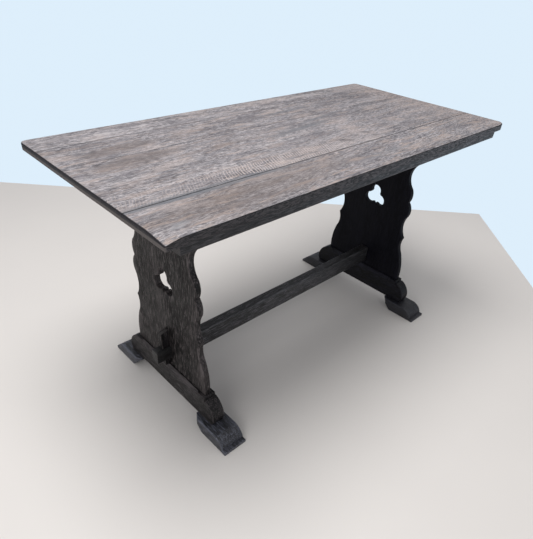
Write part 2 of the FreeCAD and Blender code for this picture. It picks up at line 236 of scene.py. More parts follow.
def figure(tree, at, size, turn=(0, 0, 0), shift=(0, 0, 0), detail=3.0, roughness=0.55):
    """Soft noise whose spots have the given (x, y, z) size in metres."""
    mapping = add(tree, "Mapping", {"Vector": at, "Location": shift, "Rotation": turn,
                                    "Scale": size}, vector_type="TEXTURE")
    noise = add(tree, "TexNoise", {"Vector": mapping.outputs[0], "Scale": 1.0, "Detail": detail,
                                   "Roughness": roughness})
    return noise.outputs["Fac"]


def bare_finish(name):
    """A new material, its node tree, its shader and the Object coordinates."""
    material = bpy.data.materials.new(name)
    material.use_nodes = True
    tree = material.node_tree
    return material, tree, tree.nodes["Principled BSDF"], add(tree, "TexCoord").outputs["Object"]


def weighted(tree, first, *rest):
    """The sum of (value, weight) pairs."""
    total = sums(tree, "MULTIPLY", *first)
    for value, weight in rest:
        total = sums(tree, "ADD", total, sums(tree, "MULTIPLY", value, weight))
    return total


def along_grain(grain, along, over):
    """(x, y, z) sizes: along on the grain's axis, over on the two others."""
    return tuple(along if axis == grain else over for axis in range(3))


def wandering(tree, at, grain, shift, reach, detail):
    """The same places pushed across the grain by slow noise, so that growth lines wander."""
    wander = figure(tree, at, along_grain(grain, 0.30, 0.07), shift=shift, detail=detail)
    wander = sums(tree, "MULTIPLY", sums(tree, "SUBTRACT", wander, 0.5), reach)
    bend = add(tree, "CombineXYZ", {axis: 0.0 if axis == grain else wander for axis in range(3)})
    return add(tree, "VectorMath", {0: at, 1: bend.outputs[0]}, operation="ADD").outputs[0]


def dress(tree, shader, colour, roughness, relief, strength, depth):
    """Gives a shader its colour and roughness, and a relief of a depth in metres."""
    bump = add(tree, "Bump", {"Height": relief, "Strength": strength, "Distance": depth})
    for value, socket in ((colour, "Base Color"), (roughness, "Roughness"),
                          (bump.outputs[0], "Normal")):
        tree.links.new(value, shader.inputs[socket])


FUMED_PORE = (0.004, 0.004, 0.004, 1)
WAXED_ROUGHNESS = (0.40, 0.62)


def fumed_oak(name, grain, shift, face=(0.030, 0.027, 0.026, 1), deep=(0.006, 0.0055, 0.006, 1),
              worn=(0.060, 0.055, 0.054, 1), sheen=0.3, fades=()):
    """Oak stained nearly black, with its grain along axis 0, 1 or 2, waxed to a low sheen.

    A fade is two places along x and the share of brightness lost between them."""
    material, tree, shader, at = bare_finish("fumed_oak_" + name)
    bent = wandering(tree, at, grain, shift, 0.03, 2.0)

    def grown(along, over, detail, roughness=0.55):
        return figure(tree, bent, along_grain(grain, along, over), (0, 0, 0), shift, detail,
                      roughness)

    broad = grown(0.45, 0.045, 3.0)
    streaks = grown(0.13, 0.0070, 5.0, 0.66)
    fibres = grown(0.030, 0.0032, 4.0, 0.70)
    pores = between(tree, grown(0.018, 0.0012, 1.0), 0.56, 0.68)
    tone = weighted(tree, (broad, 0.20), (streaks, 0.32), (fibres, 0.48))
    tone = between(tree, tone, 0.445, 0.565)
    colour = blend(tree, tone, deep, face)
    colour = blend(tree, between(tree, fibres, 0.54, 0.63, 0.0, 0.85), colour, worn)
    colour = blend(tree, sums(tree, "MULTIPLY", pores, 0.75), colour, FUMED_PORE)
    rubbed = add(tree, "Attribute", attribute_name="wear").outputs["Fac"]
    patch = figure(tree, at, (0.045, 0.045, 0.045), shift=shift, detail=4.0)
    rubbed = sums(tree, "MULTIPLY", rubbed, between(tree, patch, 0.42, 0.66, 0.15, 0.85))
    colour = blend(tree, rubbed, colour, worn)
    for start, end, share in fades:
        along = add(tree, "SeparateXYZ", {0: at}).outputs[0]
        lost = between(tree, along, start, end, 0.0, share)
        colour = blend(tree, lost, colour, (0, 0, 0, 1))
    roughness = between(tree, sums(tree, "ADD", streaks, patch), 0.7, 1.3, *WAXED_ROUGHNESS)
    relief = sums(tree, "SUBTRACT", weighted(tree, (streaks, 0.8), (fibres, 0.5)), pores)
    dress(tree, shader, colour, roughness, relief, 0.35, 0.0006)
    shader.inputs["Specular IOR Level"].default_value = sheen
    return material


def brighter(colour, times):
    """A colour's red, green and blue times a number, as (r, g, b, 1)."""
    return tuple(times * part for part in colour[:3]) + (1,)


FOOT_ROUND = ((0.256, 0.043), (0.279, 0.032), (0.292, 0.009))    # (out along y, height)
FOOT_INNER_FLOOR = 0.192
FOOT_CORNER = (0.015, 0.021)     # cut off the two inner corners, seen from above
FOOT_ARRIS = 0.0032
FOOT_SOLE_ARRIS = 0.0010
TOE_EASE = 0.0015
FULL_ARRIS_HEIGHT = 0.012        # where the foot is thinner than this its arrises shrink
# The face colour of each side holds painted light: the left feet are lighter and bluish for a
# painted sheen, the right feet near black for painted shade under the table.
FOOT_PAINTED_LIGHT_BY_SIDE = {"left": (0.056, 0.060, 0.077), "right": (0.014, 0.015, 0.021)}


def foot_skin(node, outwards):
    """A foot as upright rings from its inner end to its toe; outwards is the sign of y there.

    The rings start low under the rail, grow down the slanting inner end to the floor, and their
    upper line is a flat, a round shoulder and the thin toe."""
    low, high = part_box(node)
    toe = max(abs(low.y), abs(high.y))
    inner = min(abs(low.y), abs(high.y))
    flat = np.concatenate([np.linspace(inner + TOE_EASE, inner + FOOT_CORNER[0] + 0.006, 7),
                           np.linspace(FOOT_INNER_FLOOR - 0.015, FOOT_ROUND[0][0], 10)[:-1]])
    shoulder = arc_through(*FOOT_ROUND, 15)
    toe_out, toe_drawn = eased_run(shoulder[-1, 0] + 0.0006, toe, TOE_EASE, 4)
    keep = ARRIS_STEPS + 1
    out = np.concatenate([flat, shoulder[:, 0], toe_out[keep:]])
    drawn = np.concatenate([flat * 0, shoulder[:, 0] * 0, toe_drawn[keep:]])
    top = np.concatenate([flat * 0 + high.z, shoulder[:, 1], FOOT_ROUND[2][1] - toe_drawn[keep:]])
    ramp = np.clip((FOOT_INNER_FLOOR - out) / (FOOT_INNER_FLOOR - inner), 0, 1)
    corner = FOOT_CORNER[0] * np.clip(1 - (out - inner) / FOOT_CORNER[1], 0, 1)
    lower = line_of(0, outwards * out, ramp * high.z)
    upper = line_of(0, outwards * out, top)
    slim = np.minimum(1, (upper - lower)[:, 2:] / FULL_ARRIS_HEIGHT) * [[1, 1]]
    return bar_surface(lower, upper, (1, 0, 0), low.x + drawn + corner, high.x - drawn - corner,
                       FOOT_SOLE_ARRIS * slim, FOOT_ARRIS * slim, flats=12, sides=6,
                       drawn=drawn)


for side, place, outwards, shift in (("left", "front", -1, (0.3, 0.1, 0.4)),
                                     ("left", "back", 1, (1.3, 0.7, 0.2)),
                                     ("right", "front", -1, (2.3, 0.4, 0.9)),
                                     ("right", "back", 1, (3.1, 0.2, 0.6))):
    foot_name = "foot_" + side + "_" + place
    face = FOOT_PAINTED_LIGHT_BY_SIDE[side] + (1,)
    oak = fumed_oak(foot_name, 1, shift, face, (0.009, 0.009, 0.012, 1),
                    brighter(face, 2.0), sheen=0.6)
    wooden_piece([foot_skin(foot_name, outwards)], oak, "fumed_oak", "table", foot_name)

# ---- Rails ----------------------------------------------------------------------------------
# The cross rails that the slabs stand on, of the same fumed oak, sawn to a quirk and a scroll
# at each end. A stopped chamfer runs along both upper arrises. Screws hold slab and feet.
QUIRK = ((0.184, 0.128), (0.1862, 0.111))        # (out along y, height)
QUIRK_ROUND = 0.0015
SCROLL = ((0.189, 0.121), (0.214, 0.103), (0.226, 0.058))
RAIL_TOE = 0.219
RAIL_CHAMFER = (0.007, 0.014)
RAIL_CHAMFER_END = 0.150
RAIL_ARRIS = (0.0024, 0.0024)
RAIL_SOLE_ARRIS = (0.0015, 0.0015)


def rail_skin(node):
    """A rail as rings along y; the ring's top follows the scrolled upper line.

    The rings are upright in the middle and lean back under the scroll at each end."""
    low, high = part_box(node)
    flat = np.concatenate([np.linspace(0, RAIL_CHAMFER_END - 0.001, 16),
                           np.linspace(RAIL_CHAMFER_END + 0.003, QUIRK[0][0] - QUIRK_ROUND, 5)])
    turn = np.linspace(0.25, 1, 4) * np.pi / 2
    shoulder = np.stack([QUIRK[0][0] - QUIRK_ROUND + QUIRK_ROUND * np.sin(turn),
                         QUIRK[0][1] - QUIRK_ROUND + QUIRK_ROUND * np.cos(turn)], axis=1)
    groove = [[QUIRK[1][0] - 0.0006, QUIRK[1][1] + QUIRK_ROUND], QUIRK[1],
              [QUIRK[1][0] + 0.0008, QUIRK[1][1] + QUIRK_ROUND]]
    line = np.concatenate([np.stack([flat, flat * 0 + high.z], axis=1), shoulder, groove,
                           arc_through(*SCROLL, 16)])
    out, top = line[:, 0], line[:, 1]
    chamfered = out < RAIL_CHAMFER_END
    cut = np.where(chamfered[:, None], RAIL_CHAMFER, RAIL_ARRIS)
    out = np.concatenate([-out[:0:-1], out])
    top, cut, chamfered = (np.concatenate([a[:0:-1], a]) for a in (top, cut, chamfered))
    cut = np.minimum(cut, 0.45 * (top - low.z)[:, None])
    beyond = np.clip((np.abs(out) - QUIRK[0][0]) / (SCROLL[2][0] - QUIRK[0][0]), 0, 1)
    foot = np.sign(out) * (np.abs(out) - (SCROLL[2][0] - RAIL_TOE) * beyond)
    lower = line_of(0, foot, low.z)
    upper = line_of(0, out, top)
    return bar_surface(lower, upper, (1, 0, 0), low.x, high.x, RAIL_SOLE_ARRIS, cut,
                       flats=8, sides=6, flatness=chamfered * 1.0)


# Lit and shaded copies of one oak: the left rail is lighter where the light falls, the right rail
# near black and bluish for painted shade under the table.
for side, shift, face in (("left", (0.7, 1.1, 0.3), (0.034, 0.030, 0.031, 1)),
                          ("right", (1.9, 0.5, 1.4), (0.007, 0.007, 0.011, 1))):
    oak = fumed_oak("rail_" + side, 1, shift, face, (0.004, 0.004, 0.004, 1),
                    brighter(face, 2.4), sheen=0.2)
    wooden_piece([rail_skin("rail_" + side)], oak, "fumed_oak", "table", "rail_" + side)

# ---- Slabs ----------------------------------------------------------------------------------
# The two shaped ends: oak boards with upright grain, bandsawn to a wavy outline, pierced with
# a trefoil and mortised for the stretcher. They are stub-tenoned into rail and bearer.
SLAB_RUNS = (   # half of the outline: arcs as (distance from the middle, height)
    ((0.1765, 0.128), (0.1765, 0.175), (0.1610, 0.240), 12),
    ((0.1610, 0.240), (0.1505, 0.273), (0.1570, 0.307), 9),
    ((0.1570, 0.307), (0.1415, 0.349), (0.1485, 0.388), 10),
    ((0.1485, 0.388), (0.1575, 0.420), (0.1440, 0.451), 9),
    ((0.1440, 0.451), (0.1505, 0.474), (0.1440, 0.502), 8),
    ((0.1440, 0.502), (0.1255, 0.553), (0.1510, 0.598), 12),
    ((0.1510, 0.598), (0.1600, 0.6065), (0.1700, 0.617), 6),
    ((0.1700, 0.617), (0.1940, 0.648), (0.2080, 0.700), 10),
)
SLAB_ARRIS = 0.0026
SLAB_COLUMNS = 36
HOLE_ARRIS = 0.0012
TREFOIL_CENTRE = 0.429
TREFOIL_DISCS = ((0.0, 0.0, 0.0265), (0.0, 0.024, 0.0215), (-0.0235, -0.010, 0.0205),
                 (0.0235, -0.010, 0.0205))
TREFOIL_STEM = (0.006, 0.019, 0.034)    # half width and depth where it starts, depth of its tip
TENON_HALF = (0.014, 0.0225)
TENON_CENTRE = 0.1825
TENON_BAND = (0.128, 0.240)             # heights between which rings replace the rows
TREFOIL_BAND = (0.370, 0.502)
HOLE_RINGS = 8


def trefoil_reach(angle):
    """How far the trefoil reaches from its centre: the furthest exit from its discs and stem."""
    side, up = np.cos(angle), np.sin(angle)
    reach = np.zeros_like(angle)
    for y, z, radius in TREFOIL_DISCS:
        towards = y * side + z * up
        inside = radius ** 2 - y * y - z * z + towards ** 2
        exit_at = np.where(inside > 0, towards + np.sqrt(np.abs(inside)), 0)
        reach = np.maximum(reach, exit_at)
    half, top, tip = TREFOIL_STEM
    steep = (tip - top) / half
    exit_at = tip / np.maximum(steep * np.abs(side) - up, 1e-6)
    in_stem = (up < 0) & (exit_at * np.abs(side) < half)
    return np.where(in_stem, np.maximum(reach, exit_at), reach)


def tenon_reach(angle):
    """How far a rectangle reaches from its centre."""
    wide, tall = TENON_HALF
    return np.minimum(wide / np.maximum(np.abs(np.cos(angle)), 1e-6),
                      tall / np.maximum(np.abs(np.sin(angle)), 1e-6))


def slab_skin(node):
    """A slab as rows of points up each face, a rounded rim along both edges, and two holes.

    Row j spans the outline at its height, drawn in by the arris along the outline's normal.
    Around a hole, the rows give way to rings that pass from the hole's edge to the edge of a
    band of rows, point for point."""
    low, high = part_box(node)
    front, back = low.x, high.x
    if front < 0:
        front, back = high.x, low.x
    inwards = np.sign(back - front)
    runs = [arc_through(*run) for run in SLAB_RUNS]
    line = np.concatenate([runs[0]] + [run[1:] for run in runs[1:]])
    slope = np.gradient(line, axis=0)
    normal = np.stack([slope[:, 1], -slope[:, 0]], axis=1)
    normal /= np.linalg.norm(normal, axis=1)[:, None]
    rows, columns = len(line), SLAB_COLUMNS + 1
    turn = np.linspace(0, np.pi / 2, ARRIS_STEPS + 1)
    rim_in = SLAB_ARRIS * (1 - np.sin(turn))
    rim_deep = SLAB_ARRIS * (1 - np.cos(turn))
    thick = abs(back - front)
    rim_in = np.concatenate([rim_in, [0, 0], rim_in[::-1]])
    rim_deep = np.concatenate([rim_deep, [thick * 0.35, thick * 0.65], thick - rim_deep[::-1]])
    rim = line[:, None] - normal[:, None] * rim_in[None, :, None]
    depths = len(rim_in)
    upright = (np.arange(rows) == 0) | (np.arange(rows) == rows - 1)
    rim[upright, :, 1] = line[upright, None, 1]

    points, wear, quads = [], [], []

    def take(new, worn):
        """Adds points and gives their numbers."""
        start = sum(len(p) for p in points)
        new = np.asarray(new)
        points.append(new.reshape(-1, 3))
        wear.append(np.broadcast_to(worn, new.shape[:-1]).ravel())
        return np.arange(start, start + new[..., 0].size).reshape(new.shape[:-1])

    width = 2 * crowded_ends(SLAB_COLUMNS) - 1
    edge_wear = np.where(np.abs(width) > 0.999, 0.8, 0.0)
    faces = []
    for x, k in ((front, 0), (back, depths - 1)):
        face = np.stack([np.full((rows, columns), x), rim[:, k, 0][:, None] * width,
                         np.broadcast_to(rim[:, k, 1][:, None], (rows, columns))], axis=-1)
        faces.append(take(face, edge_wear))
    sides = []
    rim_wear = np.where(rim_in[1:-1] > 0, 1.0, 0.25)
    for sign, column in ((-1, 0), (1, -1)):
        inner = np.stack([np.broadcast_to(front + inwards * rim_deep[1:-1], (rows, depths - 2)),
                          sign * rim[:, 1:-1, 0], rim[:, 1:-1, 1]], axis=-1)
        number = take(inner, rim_wear)
        sides.append(np.concatenate([faces[0][:, column, None], number,
                                     faces[1][:, column, None]], axis=1))
        quads.append(map_quads(sides[-1]))
    for row in (0, -1):
        y = line[row, 0] * width[1:-1]
        x = front + inwards * rim_deep[1:-1]
        inner = np.stack([np.broadcast_to(x, (columns - 2, depths - 2)),
                          np.broadcast_to(y[:, None], (columns - 2, depths - 2)),
                          np.full((columns - 2, depths - 2), line[row, 1])], axis=-1)
        cap = np.concatenate([faces[0][row, 1:-1, None], take(inner, 0.0),
                              faces[1][row, 1:-1, None]], axis=1)
        quads.append(map_quads(np.concatenate([sides[0][row][None], cap, sides[1][row][None]])))

    solid = np.ones(rows - 1, bool)
    def joined(rings):
        """Quads of rings whose last point is followed by their first."""
        return map_quads(np.concatenate([rings, rings[:, :1]], axis=1))

    for reach, centre, band in ((tenon_reach, TENON_CENTRE, TENON_BAND),
                                (trefoil_reach, TREFOIL_CENTRE, TREFOIL_BAND)):
        bottom, top = (int(np.argmin(np.abs(line[:, 1] - level))) for level in band)
        solid[bottom:top] = False
        mouths = []
        for face, x in zip(faces, (front, back)):
            loop = np.concatenate([face[bottom, :-1], face[bottom:top, -1], face[top, :0:-1],
                                   face[top:bottom:-1, 0]])
            outer = np.concatenate(points)[loop][:, 1:]
            angle = np.arctan2(outer[:, 1] - centre, outer[:, 0])
            edge = np.stack([np.cos(angle), np.sin(angle)], axis=1)
            mouth = edge * (reach(angle) + HOLE_ARRIS)[:, None] + [0, centre]
            share = (np.linspace(0, 1, HOLE_RINGS + 1) ** 1.4)[:-1, None, None]
            rings = mouth + (outer - mouth) * share
            rings = np.concatenate([np.full(rings.shape[:2] + (1,), x), rings], axis=-1)
            number = take(rings, np.where(share[..., 0] == 0, 0.7, 0.0))
            quads.append(joined(np.concatenate([number, loop[None]])))
            mouths.append(number[0])
        wall_in = HOLE_ARRIS * (1 - np.sin(turn))
        wall_deep = HOLE_ARRIS * (1 - np.cos(turn))
        wall_in = np.concatenate([wall_in, wall_in[::-1]])[1:-1, None, None]
        wall_deep = np.concatenate([wall_deep, thick - wall_deep[::-1]])[1:-1]
        wall = edge * (reach(angle)[:, None] + wall_in) + [0, centre]
        wall_x = np.broadcast_to((front + inwards * wall_deep)[:, None, None], wall.shape[:2] + (1,))
        number = take(np.concatenate([wall_x, wall], axis=-1), 0.4)
        quads.append(joined(np.concatenate([mouths[0][None], number, mouths[1][None]])))
    for face in faces:
        for row in np.flatnonzero(solid):
            quads.append(map_quads(face[row:row + 2]))
    quads = np.concatenate(quads)
    used, quads = np.unique(quads, return_inverse=True)
    return (np.concatenate(points)[used], quads.reshape(-1, 4), np.concatenate(wear)[used])


# Lit and shaded copies of one oak: the left slab is lighter for its lit outer face, the right slab
# near black and bluish for painted shade under the table.
for side, shift, face, deep, rub, sheen in (
        ("left", (0.2, 0.45, 1.7), (0.040, 0.035, 0.035, 1), (0.002, 0.002, 0.002, 1), 3.0, 0.12),
        ("right", (1.2, 0.15, 0.6), (0.007, 0.007, 0.011, 1), (0.003, 0.003, 0.005, 1), 1.3, 0.08)):
    oak = fumed_oak("slab_" + side, 2, shift, face, deep, brighter(face, rub),
                    sheen=sheen)
    wooden_piece([slab_skin("slab_" + side)], oak, "fumed_oak", "table", "slab_" + side)

# ---- Stretcher --------------------------------------------------------------------------------
# One oak board on edge between the slabs, chamfered along its four arrises. A tenon at each end
# goes right through the slab and is mortised outside it for a wedge.
STRETCHER_CHAMFER = 0.003
STRETCHER_HALF = 0.017
STRETCHER_LEVELS = (0.144, 0.208)
TENON_LEVELS = (0.160, 0.205)
MORTISE_HALF = 0.0078
MORTISE_START = 0.002       # inside the slab's outer face
WEDGE_GAP = 0.0003
WEDGE_TOP_WIDTH = 0.0285
WEDGE_TAPER = 0.06
SHADED_TENONS = ((-0.470, -0.495, 0.85), (0.470, 0.495, 0.85))
SHADED_RIGHT_HALF = (0.10, 0.45, 0.5)


def stretcher_skin(shoulder):
    """The bar between the slabs' inner faces, as rings along x."""
    places, drawn = eased_run(-shoulder, shoulder, 0.0006, 90)
    lower, upper = (line_of(places, 0, level) for level in STRETCHER_LEVELS)
    cut = (STRETCHER_CHAMFER, STRETCHER_CHAMFER)
    return bar_surface(lower, upper, (0, 1, 0), -STRETCHER_HALF + drawn, STRETCHER_HALF - drawn,
                       cut, cut, flats=6, sides=8, flatness=0.75)


def around_rectangle(low, high, steps):
    """Points round a rectangle, from its lowest corner, with the same steps on every side."""
    share = crowded_ends(steps)[:-1]
    x = np.concatenate([low[0] + (high[0] - low[0]) * share, share * 0 + high[0],
                        high[0] - (high[0] - low[0]) * share, share * 0 + low[0]])
    y = np.concatenate([share * 0 + low[1], low[1] + (high[1] - low[1]) * share,
                        share * 0 + high[1], high[1] - (high[1] - low[1]) * share])
    return np.stack([x, y], axis=1)


def tenon_skin(shoulder, slab_face, end, wedge_top, sign):
    """A tenon as a rectangular section carried round its mortise, on the side sign of x.

    The section's outer wall follows the tenon's outside and its inner wall the mortise, whose
    outer end leans with the wedge."""
    low, high = TENON_LEVELS
    half = TENON_HALF[0]

    def mortise(level):
        wedge_out = slab_face + WEDGE_GAP + WEDGE_TOP_WIDTH - (wedge_top - level) * WEDGE_TAPER
        return around_rectangle((slab_face - MORTISE_START, -MORTISE_HALF),
                                (wedge_out + WEDGE_GAP, MORTISE_HALF), 8)

    def outside(draw):
        return around_rectangle((shoulder, -half + draw), (end - draw, half - draw), 8)

    bevel = STRETCHER_CHAMFER
    section = ((outside(0), low + bevel, 0.4), (outside(0), (low + high) / 2, 0.0),
               (outside(0), high - bevel, 0.8), (outside(bevel * 0.6), high - bevel * 0.3, 1.0),
               (outside(bevel), high, 0.5), (mortise(high), high, 0.6),
               (mortise(high - 0.001), high - 0.001, 0.3), (mortise(low + 0.001), low + 0.001, 0.0),
               (mortise(low), low, 0.2), (outside(bevel), low, 0.3))
    stack = np.stack([line_of(sign * loop[:, 0], loop[:, 1], level)
                      for loop, level, _ in section], axis=1)
    wear = np.broadcast_to([w for _, _, w in section], stack.shape[:2])
    count = len(stack)
    quads = grid_quads(count + 1, stack.shape[1], ring=True) % (count * stack.shape[1])
    return stack.reshape(-1, 3), quads, wear.ravel()


slab_low, slab_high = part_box("slab_right")
wedge_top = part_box("wedge_right")[1].z
stretcher_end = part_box("stretcher")[1].x
oak = fumed_oak("stretcher", 0, (0.4, 0.9, 0.5), face=(0.050, 0.049, 0.055, 1),
                worn=(0.13, 0.125, 0.135, 1), sheen=0.5,
                fades=SHADED_TENONS + (SHADED_RIGHT_HALF,))
tenons = [tenon_skin(slab_low.x, slab_high.x, stretcher_end, wedge_top, sign)
          for sign in (-1, 1)]
wooden_piece([stretcher_skin(slab_low.x)] + tenons, oak, "fumed_oak", "table", "stretcher")

# ---- Wedges ---------------------------------------------------------------------------------
# A loose tapered oak key in each tenon, driven down against the slab's outer face. It lifts
# straight out, so it has a body of its own. Its arrises are rubbed pale by handling.
WEDGE_ARRIS = (0.0014, 0.0014)
WEDGE_HEAD_FALL = (0.006, 0.03)     # how far the outer side is knocked down, over what height


def wedge_skin(node, sign):
    """A wedge as rings from its foot to its sloping head; the outer line leans outwards."""
    low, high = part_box(node)
    inner = min(abs(low.x), abs(high.x))
    places, drawn = eased_run(low.z, high.z, 0.0018, 16)
    outer = inner + WEDGE_TOP_WIDTH - (high.z - places) * WEDGE_TAPER
    drop, over = WEDGE_HEAD_FALL
    fall = drop * np.clip((places - high.z + over) / over, 0, 1)
    lower = line_of(sign * (inner + drawn), 0, places)
    upper = line_of(sign * (outer - drawn), 0, places - fall)
    return bar_surface(lower, upper, (0, 1, 0), low.y + drawn, high.y - drawn, WEDGE_ARRIS,
                       WEDGE_ARRIS, flats=4, sides=5, drawn=drawn)


for side, sign, shift in (("left", -1, (0.6, 0.3, 0.8)), ("right", 1, (1.6, 0.8, 0.1))):
    oak = fumed_oak("wedge_" + side, 2, shift, face=(0.016, 0.014, 0.016, 1),
                    deep=(0.005, 0.0045, 0.005, 1), worn=(0.10, 0.092, 0.090, 1), sheen=0.15)
    wooden_piece([wedge_skin("wedge_" + side, sign)], oak, "fumed_oak", "wedge_" + side,
                 "wedge_" + side)

# ---- Bearers, pegs and screws ------------------------------------------------------------------
# Cross bearers of fumed oak under the top, with a slab pegged into each. Plain oak pegs and
# dowels, and slotted steel wood screws in counterbores, keep the shapes of the frame.
def finish_node(node_name, finish):
    """Gives a piece that keeps the frame's own shape its finish."""
    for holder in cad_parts[node_name].material_slots:
        holder.material = finish


for side, shift in (("left", (0.9, 0.6, 0.2)), ("right", (2.1, 0.3, 1.1))):
    finish_node("bearer_" + side, fumed_oak("bearer_" + side, 1, shift))


OAK_FIBRE = (0.17, 0.115, 0.07, 1)
OAK_STRAW = (0.42, 0.30, 0.19, 1)
STEEL_DULL = (0.30, 0.29, 0.28, 1)
STEEL_BRIGHT = (0.48, 0.47, 0.45, 1)
RUST = (0.13, 0.065, 0.035, 1)


def pale_oak(name, grain):
    """Plain end-grain oak of pegs and dowels: warm straw with darker fibres."""
    material, tree, shader, at = bare_finish("pale_oak_" + name)
    fibres = figure(tree, at, along_grain(grain, 0.03, 0.0012), detail=4.0)
    colour = blend(tree, between(tree, fibres, 0.35, 0.65), OAK_FIBRE, OAK_STRAW)
    dress(tree, shader, colour, between(tree, fibres, 0.3, 0.7, 0.65, 0.5), fibres, 0.3, 0.0003)
    return material


def screw_steel():
    """Old bright steel gone grey, with brown rust blooms and fine turning marks."""
    material, tree, shader, at = bare_finish("screw_steel")
    bloom = between(tree, figure(tree, at, (0.004, 0.004, 0.004), detail=5.0), 0.50, 0.66)
    marks = figure(tree, at, (0.0006, 0.0006, 0.002), detail=2.0)
    colour = blend(tree, marks, STEEL_DULL, STEEL_BRIGHT)
    colour = blend(tree, bloom, colour, RUST)
    tree.links.new(colour, shader.inputs["Base Color"])
    tree.links.new(between(tree, bloom, 0.0, 1.0, 1.0, 0.1), shader.inputs["Metallic"])
    tree.links.new(between(tree, bloom, 0.0, 1.0, 0.34, 0.8), shader.inputs["Roughness"])
    return material


steel = screw_steel()
for node_name in ("bearer_screws", "strip_screws", "rail_screws", "foot_screws"):
    finish_node(node_name, steel)
for node_name, grain in (("bearer_pegs", 0), ("board_dowels", 1)):
    finish_node(node_name, pale_oak(node_name, grain))

# ---- Top boards -----------------------------------------------------------------------------
# Four oak boards of unequal width, doweled edge to edge. The faces have weathered to a dry
# grey, while the edges and the nosed ends keep their nearly black finish.
TOP_CORNERS = {(-1, -1): 0.004, (1, -1): 0.036, (-1, 1): 0.020, (1, 1): 0.020}
END_RUN = 0.036
NOSE_TOP = 0.005
NOSE_BOTTOM = 0.003
JOINT_ARRIS = (0.0007, 0.0007)
LONG_ARRIS = (0.0022, 0.0022)
BOARD_STEP = 0.012
WORN_CORNER = (0.008, 0.042, 0.065)     # how far it droops, and how far in along x and y
TABLE_HEIGHT = 0.755


def board_skin(node, outer):
    """A board as rings along x. outer is -1 or 1 where its long edge is the top's own, else 0.

    Near each end, at a distance d, a quarter circle of radius r draws the ring in by
    r - sqrt(r^2 - (r - d)^2): from above and below for the nose, and from the side for the
    top's rounded corner. The front left corner droops, most at the tip and not at all further
    in, in proportion to the height above the board's underside."""
    low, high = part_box(node)
    span = (high.x - low.x) / 2
    near_end = END_RUN * (1 - np.cos(np.linspace(0, np.pi / 2, 18)))
    middle = np.linspace(-span + END_RUN, span - END_RUN, int(2 * span / BOARD_STEP))[1:-1]
    places = np.concatenate([-span + near_end, middle, span - near_end[::-1]])
    off = span - np.abs(places)

    def drawn_in(radius):
        rest = np.clip(radius - off, 0, radius)
        return radius - np.sqrt(radius ** 2 - rest ** 2)

    corner = np.where(places < 0, drawn_in(TOP_CORNERS.get((-1, outer), 0.0)),
                      drawn_in(TOP_CORNERS.get((1, outer), 0.0)))
    lower = line_of(places, 0, low.z + drawn_in(NOSE_BOTTOM))
    upper = line_of(places, 0, high.z - drawn_in(NOSE_TOP))
    near = low.y + (corner if outer < 0 else 0)
    far = high.y - (corner if outer > 0 else 0)
    edge_cut = LONG_ARRIS if outer else JOINT_ARRIS
    points, quads, wear = bar_surface(lower, upper, (0, 1, 0), near, far, JOINT_ARRIS, edge_cut,
                                      flats=int((high.y - low.y) / BOARD_STEP) + 4, sides=3)
    if outer < 0:
        droop, reach_x, reach_y = WORN_CORNER
        share = (np.clip(1 - (points[:, 0] - low.x) / reach_x, 0, 1)
                 * np.clip(1 - (points[:, 1] - low.y) / reach_y, 0, 1))
        points[:, 2] -= droop * share ** 1.3 * (points[:, 2] - low.z) / (high.z - low.z)
    return points, quads, wear


def soft_spot(tree, at, centre, half, turn=0.0):
    """1 at a place on the top, falling to 0 over half a length and half a width, turned from x."""
    mapping = add(tree, "Mapping", {"Vector": at, "Location": centre + (TABLE_HEIGHT,),
                                    "Rotation": (0, 0, turn), "Scale": half + (0.2,)},
                  vector_type="TEXTURE")
    return add(tree, "TexGradient", {"Vector": mapping.outputs[0]},
               gradient_type="SPHERICAL").outputs["Fac"]


GREY_DEEP = (0.060, 0.055, 0.061, 1)
GREY_MIDDLE = (0.205, 0.197, 0.212, 1)
GREY_PALE = (0.420, 0.395, 0.402, 1)
BLUSH = (0.340, 0.275, 0.245, 1)
COOL_BAND = (0.150, 0.150, 0.166, 1)
DARK_CLOUD = (0.115, 0.104, 0.116, 1)
WARM_CLOUD = (0.400, 0.335, 0.310, 1)
RUBBED_END = (0.36, 0.295, 0.27, 1)
RAY_FLECK = (0.46, 0.395, 0.370, 1)
OPEN_PORE = (0.080, 0.072, 0.076, 1)
JOINT_DIRT = (0.085, 0.088, 0.098, 1)
RAY_ANGLE = math.radians(-24)
RAY_SIZE = (0.024, 0.07, 0.30)
SIDE_TONES = ((0.052, 0.045, 0.047, 1), (0.135, 0.122, 0.130, 1))      # left end, right end
END_TONES = ((0.018, 0.016, 0.019, 1), (0.115, 0.100, 0.095, 1))       # above and below
EDGE_FIBRE = (0.006, 0.005, 0.006, 1)
NOSE_TONE = (0.007, 0.006, 0.008, 1)


def grey_face(tree, at, bent, growth, shift, pink, darker):
    """The weathered colour by growth lines, with blushes, cool bands and slow clouds."""
    tone = sums(tree, "SUBTRACT", weighted(tree, *zip(growth, (0.16, 0.28, 0.56))), darker)
    ramp = add(tree, "ValToRGB", {0: tone})
    stops = ramp.color_ramp.elements
    stops[0].position, stops[0].color = 0.43, GREY_DEEP
    stops[1].position, stops[1].color = 0.57, GREY_PALE
    stops.new(0.50).color = GREY_MIDDLE
    blush = figure(tree, bent, (0.10, 0.011, 0.011), shift=(shift[1], shift[2], 1.7), detail=5.0,
                   roughness=0.68)
    colour = blend(tree, between(tree, blush, 0.50, 0.62, 0.0, pink), ramp.outputs[0], BLUSH)
    cool = figure(tree, bent, (0.08, 0.010, 0.010), shift=(shift[2], 2.9, shift[0]), detail=5.0,
                  roughness=0.68)
    colour = blend(tree, between(tree, cool, 0.54, 0.66, 0.0, 0.6), colour, COOL_BAND)
    cloud = figure(tree, at, (0.13, 0.045, 0.045), shift=(shift[0], 3.3, shift[1]), detail=3.0)
    colour = blend(tree, between(tree, cloud, 0.52, 0.66, 0.0, 0.35), colour, DARK_CLOUD)
    return blend(tree, between(tree, cloud, 0.47, 0.34, 0.0, 0.35), colour, WARM_CLOUD)


